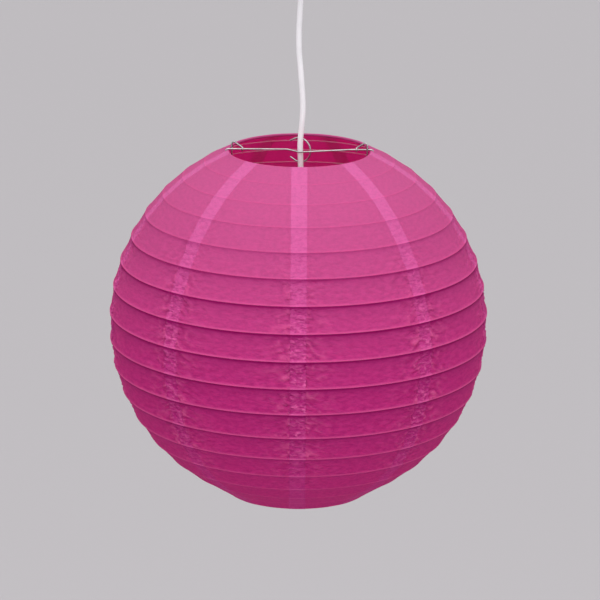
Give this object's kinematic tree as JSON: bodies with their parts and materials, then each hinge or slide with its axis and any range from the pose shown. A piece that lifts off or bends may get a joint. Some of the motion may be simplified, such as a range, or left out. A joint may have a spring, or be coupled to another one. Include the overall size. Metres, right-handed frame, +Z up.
{
  "type": "paper lantern pendant",
  "caption": "Round paper lantern shade that folds flat hoop by hoop, on a wire frame that clips to a hanging cord with ceiling rose and lampholder.",
  "frame": {"origin": "middle of the ceiling face of the rose base", "axes": "+Z up into the ceiling, +X along the crossbar, -Y towards the viewer"},
  "size_m": [0.3508, 0.3508, 0.5413],
  "materials": {
    "paper": "thin crinkled mulberry-style paper, dyed fuchsia, matt",
    "hoop_wire": "drawn steel wire",
    "frame_wire": "bright drawn steel wire",
    "cord": "white PVC flex",
    "rose_cover": "white moulded plastic",
    "rose_fittings": "white moulded nylon",
    "lampholder": "white heat-resistant moulding",
    "insulator": "cream ceramic-filled moulding",
    "contact_brass": "stamped brass"
  },
  "bodies": {
    "ceiling_rose": {"rose_base": "rose_fittings", "terminal_block": "insulator", "rose_cover": "rose_cover", "grip_nut": "rose_fittings", "cord_grip": "rose_fittings", "grip_screw": "rose_fittings", "cord_tail": "cord"},
    "hanging_cord": {"cord": "cord", "holder_gland": "lampholder", "holder_cap": "lampholder", "holder_skirt": "lampholder", "insulator": "insulator", "screw_shell": "contact_brass", "centre_contact": "contact_brass", "terminal_screws": "contact_brass"},
    "wire_frame": {"crossbar": "frame_wire", "cord_clip": "frame_wire", "left_leg": "frame_wire", "right_leg": "frame_wire", "foot_wire": "frame_wire", "top_ring": "hoop_wire", "top_hem": "paper", "paper_band_01": "paper"},
    "hoop_01": {"rib_01": "hoop_wire", "paper_band_02": "paper"},
    "hoop_02": {"rib_02": "hoop_wire", "paper_band_03": "paper"},
    "hoop_03": {"rib_03": "hoop_wire", "paper_band_04": "paper"},
    "hoop_04": {"rib_04": "hoop_wire", "paper_band_05": "paper"},
    "hoop_05": {"rib_05": "hoop_wire", "paper_band_06": "paper"},
    "hoop_06": {"rib_06": "hoop_wire", "paper_band_07": "paper"},
    "hoop_07": {"rib_07": "hoop_wire", "paper_band_08": "paper"},
    "hoop_08": {"rib_08": "hoop_wire", "paper_band_09": "paper"},
    "hoop_09": {"rib_09": "hoop_wire", "paper_band_10": "paper"},
    "hoop_10": {"rib_10": "hoop_wire", "paper_band_11": "paper"},
    "hoop_11": {"rib_11": "hoop_wire", "paper_band_12": "paper"},
    "hoop_12": {"rib_12": "hoop_wire", "paper_band_13": "paper"},
    "hoop_13": {"rib_13": "hoop_wire", "paper_band_14": "paper"},
    "hoop_14": {"rib_14": "hoop_wire", "paper_band_15": "paper"},
    "hoop_15": {"rib_15": "hoop_wire", "paper_band_16": "paper"},
    "hoop_16": {"rib_16": "hoop_wire", "paper_band_17": "paper"},
    "hoop_17": {"bottom_ring": "hoop_wire", "bottom_hem": "paper"}
  },
  "joints": [
    {"name": "lantern_swing", "type": "hinge", "parent": "ceiling_rose", "child": "hanging_cord", "pos_m": [0, 0, -0.038], "axis": [0, 1, 0], "range_deg": [-20, 20]},
    {"name": "height_on_cord", "type": "slide", "parent": "hanging_cord", "child": "wire_frame", "axis": [0, 0, 1], "range_m": [-0.04, 0.1]},
    {"name": "band_01_fold", "type": "slide", "parent": "wire_frame", "child": "hoop_01", "axis": [0, 0, 1], "range_m": [0, 0.00874], "deforming": ["paper_band_01"]},
    {"name": "band_02_fold", "type": "slide", "parent": "hoop_01", "child": "hoop_02", "axis": [0, 0, 1], "range_m": [0, 0.01167], "deforming": ["paper_band_02"]},
    {"name": "band_03_fold", "type": "slide", "parent": "hoop_02", "child": "hoop_03", "axis": [0, 0, 1], "range_m": [0, 0.01435], "deforming": ["paper_band_03"]},
    {"name": "band_04_fold", "type": "slide", "parent": "hoop_03", "child": "hoop_04", "axis": [0, 0, 1], "range_m": [0, 0.01674], "deforming": ["paper_band_04"]},
    {"name": "band_05_fold", "type": "slide", "parent": "hoop_04", "child": "hoop_05", "axis": [0, 0, 1], "range_m": [0, 0.01879], "deforming": ["paper_band_05"]},
    {"name": "band_06_fold", "type": "slide", "parent": "hoop_05", "child": "hoop_06", "axis": [0, 0, 1], "range_m": [0, 0.02049], "deforming": ["paper_band_06"]},
    {"name": "band_07_fold", "type": "slide", "parent": "hoop_06", "child": "hoop_07", "axis": [0, 0, 1], "range_m": [0, 0.02181], "deforming": ["paper_band_07"]},
    {"name": "band_08_fold", "type": "slide", "parent": "hoop_07", "child": "hoop_08", "axis": [0, 0, 1], "range_m": [0, 0.02272], "deforming": ["paper_band_08"]},
    {"name": "shade_fold", "type": "slide", "parent": "hoop_08", "child": "hoop_09", "axis": [0, 0, 1], "range_m": [0, 0.02318], "deforming": ["paper_band_09"]},
    {"name": "band_10_fold", "type": "slide", "parent": "hoop_09", "child": "hoop_10", "axis": [0, 0, 1], "range_m": [0, 0.02315], "deforming": ["paper_band_10"]},
    {"name": "band_11_fold", "type": "slide", "parent": "hoop_10", "child": "hoop_11", "axis": [0, 0, 1], "range_m": [0, 0.02256], "deforming": ["paper_band_11"]},
    {"name": "band_12_fold", "type": "slide", "parent": "hoop_11", "child": "hoop_12", "axis": [0, 0, 1], "range_m": [0, 0.02127], "deforming": ["paper_band_12"]},
    {"name": "band_13_fold", "type": "slide", "parent": "hoop_12", "child": "hoop_13", "axis": [0, 0, 1], "range_m": [0, 0.01914], "deforming": ["paper_band_13"]},
    {"name": "band_14_fold", "type": "slide", "parent": "hoop_13", "child": "hoop_14", "axis": [0, 0, 1], "range_m": [0, 0.0161], "deforming": ["paper_band_14"]},
    {"name": "band_15_fold", "type": "slide", "parent": "hoop_14", "child": "hoop_15", "axis": [0, 0, 1], "range_m": [0, 0.0124], "deforming": ["paper_band_15"]},
    {"name": "band_16_fold", "type": "slide", "parent": "hoop_15", "child": "hoop_16", "axis": [0, 0, 1], "range_m": [0, 0.0091], "deforming": ["paper_band_16"]},
    {"name": "band_17_fold", "type": "slide", "parent": "hoop_16", "child": "hoop_17", "axis": [0, 0, 1], "range_m": [0, 0.00795], "deforming": ["paper_band_17"]}
  ],
  "couplings": [
    {"joint": "band_01_fold", "follows": "shade_fold", "ratio": 0.3768},
    {"joint": "band_02_fold", "follows": "shade_fold", "ratio": 0.50341},
    {"joint": "band_03_fold", "follows": "shade_fold", "ratio": 0.61906},
    {"joint": "band_04_fold", "follows": "shade_fold", "ratio": 0.72194},
    {"joint": "band_05_fold", "follows": "shade_fold", "ratio": 0.81067},
    {"joint": "band_06_fold", "follows": "shade_fold", "ratio": 0.88396},
    {"joint": "band_07_fold", "follows": "shade_fold", "ratio": 0.94077},
    {"joint": "band_08_fold", "follows": "shade_fold", "ratio": 0.97994},
    {"joint": "band_10_fold", "follows": "shade_fold", "ratio": 0.99884},
    {"joint": "band_11_fold", "follows": "shade_fold", "ratio": 0.973},
    {"joint": "band_12_fold", "follows": "shade_fold", "ratio": 0.91731},
    {"joint": "band_13_fold", "follows": "shade_fold", "ratio": 0.8256},
    {"joint": "band_14_fold", "follows": "shade_fold", "ratio": 0.6945},
    {"joint": "band_15_fold", "follows": "shade_fold", "ratio": 0.53481},
    {"joint": "band_16_fold", "follows": "shade_fold", "ratio": 0.39267},
    {"joint": "band_17_fold", "follows": "shade_fold", "ratio": 0.34307}
  ]
}
